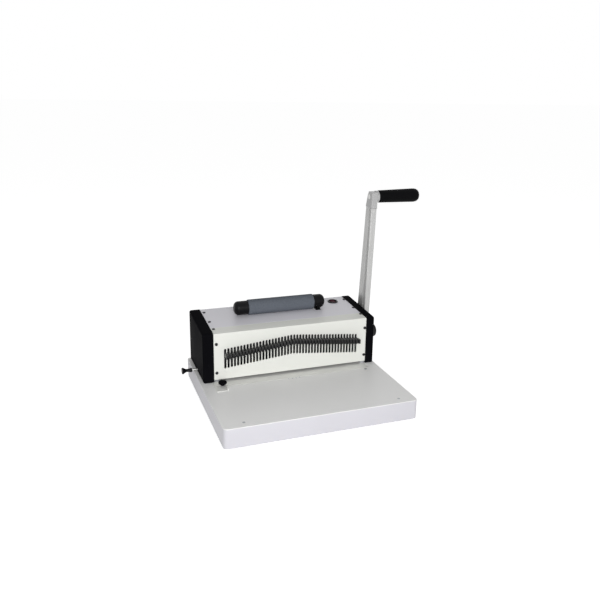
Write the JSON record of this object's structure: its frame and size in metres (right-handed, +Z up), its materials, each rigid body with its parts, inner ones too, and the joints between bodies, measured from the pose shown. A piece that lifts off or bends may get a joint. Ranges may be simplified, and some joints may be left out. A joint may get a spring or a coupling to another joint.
{
  "type": "wire binding machine",
  "caption": "Desk-top lever punch for coil and wire binding, with pull-out pins, a powered roller on top and a chip drawer.",
  "frame": {"origin": "centre of the overall footprint, lever included, on the table under the feet", "axes": "+X to the right along the row of pins, +Y to the back of the machine, +Z up"},
  "size_m": [0.503, 0.327, 0.3958],
  "materials": {
    "base_pan": "fine textured paint",
    "paper_tray": "satin paint",
    "tray_brackets": "zinc plated sheet",
    "tray_screws": "zinc plated",
    "rubber_feet": "matt",
    "foot_screws": "zinc plated",
    "die_plate": "ground",
    "pin_guide": "ground",
    "left_frame_plate": "zinc plated",
    "right_frame_plate": "zinc plated",
    "tie_rod": "turned",
    "left_side_housing": "fine moulded grain",
    "right_side_housing": "fine moulded grain",
    "front_panel": "satin silver paint",
    "top_cover": "satin paint",
    "rear_cover": "satin paint",
    "cover_screws": "nickel plated",
    "press_bar": "milled",
    "punch_pins": "hardened and ground",
    "press_racks": "milled",
    "drive_pinions": "hobbed",
    "lever_shaft": "turned",
    "shaft_bushes": "sintered",
    "shaft_rings": "spring steel",
    "lever_washer": "black oxide",
    "lever_bar": "satin",
    "lever_head": "satin",
    "grip_axle": "turned",
    "grip_collar": "satin",
    "lever_grip": "smooth",
    "lever_hub": "black oxide",
    "hub_cap": "semi gloss",
    "return_springs": "spring wire",
    "backstop_plate": "zinc plated",
    "margin_rod": "drawn",
    "margin_pinions": "cut",
    "margin_knob": "turned",
    "side_guide": "satin",
    "guide_stud": "threaded stud, shown plain",
    "guide_knob": "knurled",
    "chip_drawer": "moulded",
    "drawer_runners": "zinc plated sheet",
    "coil_roller": "coarse matt grain",
    "roller_axle": "turned",
    "roller_pulley": "moulded",
    "left_bearing_block": "moulded",
    "right_drive_block": "moulded",
    "drive_belt": "flat belt",
    "motor_pulley": "moulded",
    "motor_shaft": "turned",
    "gear_motor": "zinc plated can",
    "motor_bracket": "zinc plated sheet",
    "switch_bezel": "semi gloss",
    "switch_rocker": "semi gloss",
    "power_inlet": "moulded, nickel blades",
    "left_outer_puller": "moulded caps on flat steel keys",
    "left_second_puller": "moulded caps on flat steel keys",
    "right_second_puller": "moulded caps on flat steel keys",
    "right_outer_puller": "moulded caps on flat steel keys",
    "inner_pullers": "moulded caps on flat steel keys"
  },
  "bodies": {
    "machine": {"base_pan": "base_pan", "paper_tray": "paper_tray", "tray_brackets": "tray_brackets", "tray_screws": "tray_screws", "rubber_feet": "rubber_feet", "foot_screws": "foot_screws", "die_plate": "die_plate", "pin_guide": "pin_guide", "left_frame_plate": "left_frame_plate", "right_frame_plate": "right_frame_plate", "tie_rod": "tie_rod", "left_side_housing": "left_side_housing", "right_side_housing": "right_side_housing", "front_panel": "front_panel", "top_cover": "top_cover", "rear_cover": "rear_cover", "cover_screws": "cover_screws", "shaft_bushes": "shaft_bushes", "return_springs": "return_springs", "drawer_runners": "drawer_runners", "guide_stud": "guide_stud", "left_bearing_block": "left_bearing_block", "right_drive_block": "right_drive_block", "gear_motor": "gear_motor", "motor_bracket": "motor_bracket", "drive_belt": "drive_belt", "switch_bezel": "switch_bezel", "power_inlet": "power_inlet"},
    "lever": {"lever_shaft": "lever_shaft", "drive_pinions": "drive_pinions", "shaft_rings": "shaft_rings", "lever_washer": "lever_washer", "lever_bar": "lever_bar", "lever_head": "lever_head", "grip_axle": "grip_axle", "grip_collar": "grip_collar", "lever_grip": "lever_grip", "lever_hub": "lever_hub", "hub_cap": "hub_cap"},
    "press": {"press_bar": "press_bar", "punch_pins": "punch_pins", "press_racks": "press_racks"},
    "left_outer_key": {"left_outer_puller": "left_outer_puller"},
    "left_second_key": {"left_second_puller": "left_second_puller"},
    "inner_keys": {"inner_pullers": "inner_pullers"},
    "right_second_key": {"right_second_puller": "right_second_puller"},
    "right_outer_key": {"right_outer_puller": "right_outer_puller"},
    "margin": {"margin_rod": "margin_rod", "margin_pinions": "margin_pinions", "margin_knob": "margin_knob"},
    "backstop": {"backstop_plate": "backstop_plate"},
    "edge_guide": {"side_guide": "side_guide"},
    "thumb_knob": {"guide_knob": "guide_knob"},
    "drawer": {"chip_drawer": "chip_drawer"},
    "roller": {"coil_roller": "coil_roller", "roller_axle": "roller_axle", "roller_pulley": "roller_pulley"},
    "motor": {"motor_shaft": "motor_shaft", "motor_pulley": "motor_pulley"},
    "rocker": {"switch_rocker": "switch_rocker"}
  },
  "joints": [
    {"name": "lever_swing", "type": "hinge", "parent": "machine", "child": "lever", "pos_m": [-0.0405, 0.1015, 0.0844], "axis": [1, 0, 0], "range_deg": [0, 80]},
    {"name": "press_stroke", "type": "slide", "parent": "machine", "child": "press", "axis": [0, 0, -1], "range_m": [0, 0.021], "stiffness_N_per_m": 9600, "springref_m": -0.006, "deforming": ["return_springs"]},
    {"name": "left_outer_key_pull", "type": "slide", "parent": "press", "child": "left_outer_key", "axis": [0, -1, 0], "range_m": [0, 0.009]},
    {"name": "left_second_key_pull", "type": "slide", "parent": "press", "child": "left_second_key", "axis": [0, -1, 0], "range_m": [0, 0.009]},
    {"name": "inner_keys_pull", "type": "slide", "parent": "press", "child": "inner_keys", "axis": [0, -1, 0], "range_m": [0, 0.009]},
    {"name": "right_second_key_pull", "type": "slide", "parent": "press", "child": "right_second_key", "axis": [0, -1, 0], "range_m": [0, 0.009]},
    {"name": "right_outer_key_pull", "type": "slide", "parent": "press", "child": "right_outer_key", "axis": [0, -1, 0], "range_m": [0, 0.009]},
    {"name": "margin_turn", "type": "hinge", "parent": "machine", "child": "margin", "pos_m": [-0.0405, 0.0835, 0.0505], "axis": [1, 0, 0], "range_deg": [0, 64.5]},
    {"name": "backstop_travel", "type": "slide", "parent": "machine", "child": "backstop", "axis": [0, 1, 0], "range_m": [0, 0.0045]},
    {"name": "side_guide_slide", "type": "slide", "parent": "machine", "child": "edge_guide", "axis": [1, 0, 0], "range_m": [0, 0.008]},
    {"name": "thumb_knob_turn", "type": "hinge", "parent": "machine", "child": "thumb_knob", "pos_m": [-0.1877, 0.0065, 0.044], "axis": [0, 0, 1], "range_deg": [0, 270]},
    {"name": "drawer_slide", "type": "slide", "parent": "machine", "child": "drawer", "axis": [0, 1, 0], "range_m": [0, 0.11]},
    {"name": "roller_spin", "type": "hinge", "parent": "machine", "child": "roller", "pos_m": [-0.0405, 0.10539, 0.16265], "axis": [1, 0, 0], "continuous": true},
    {"name": "motor_spin", "type": "hinge", "parent": "machine", "child": "motor", "pos_m": [0.04, 0.1035, 0.117], "axis": [1, 0, 0], "continuous": true},
    {"name": "switch_tip", "type": "hinge", "parent": "machine", "child": "rocker", "pos_m": [0.0863, 0.13089, 0.14537], "axis": [-1, 0, 0], "range_deg": [0, 12]}
  ],
  "couplings": [
    {"joint": "press_stroke", "follows": "lever_swing", "m_per_rad": 0.015},
    {"joint": "margin_turn", "follows": "backstop_travel", "rad_per_m": 250},
    {"joint": "motor_spin", "follows": "roller_spin", "ratio": 1.5185}
  ]
}
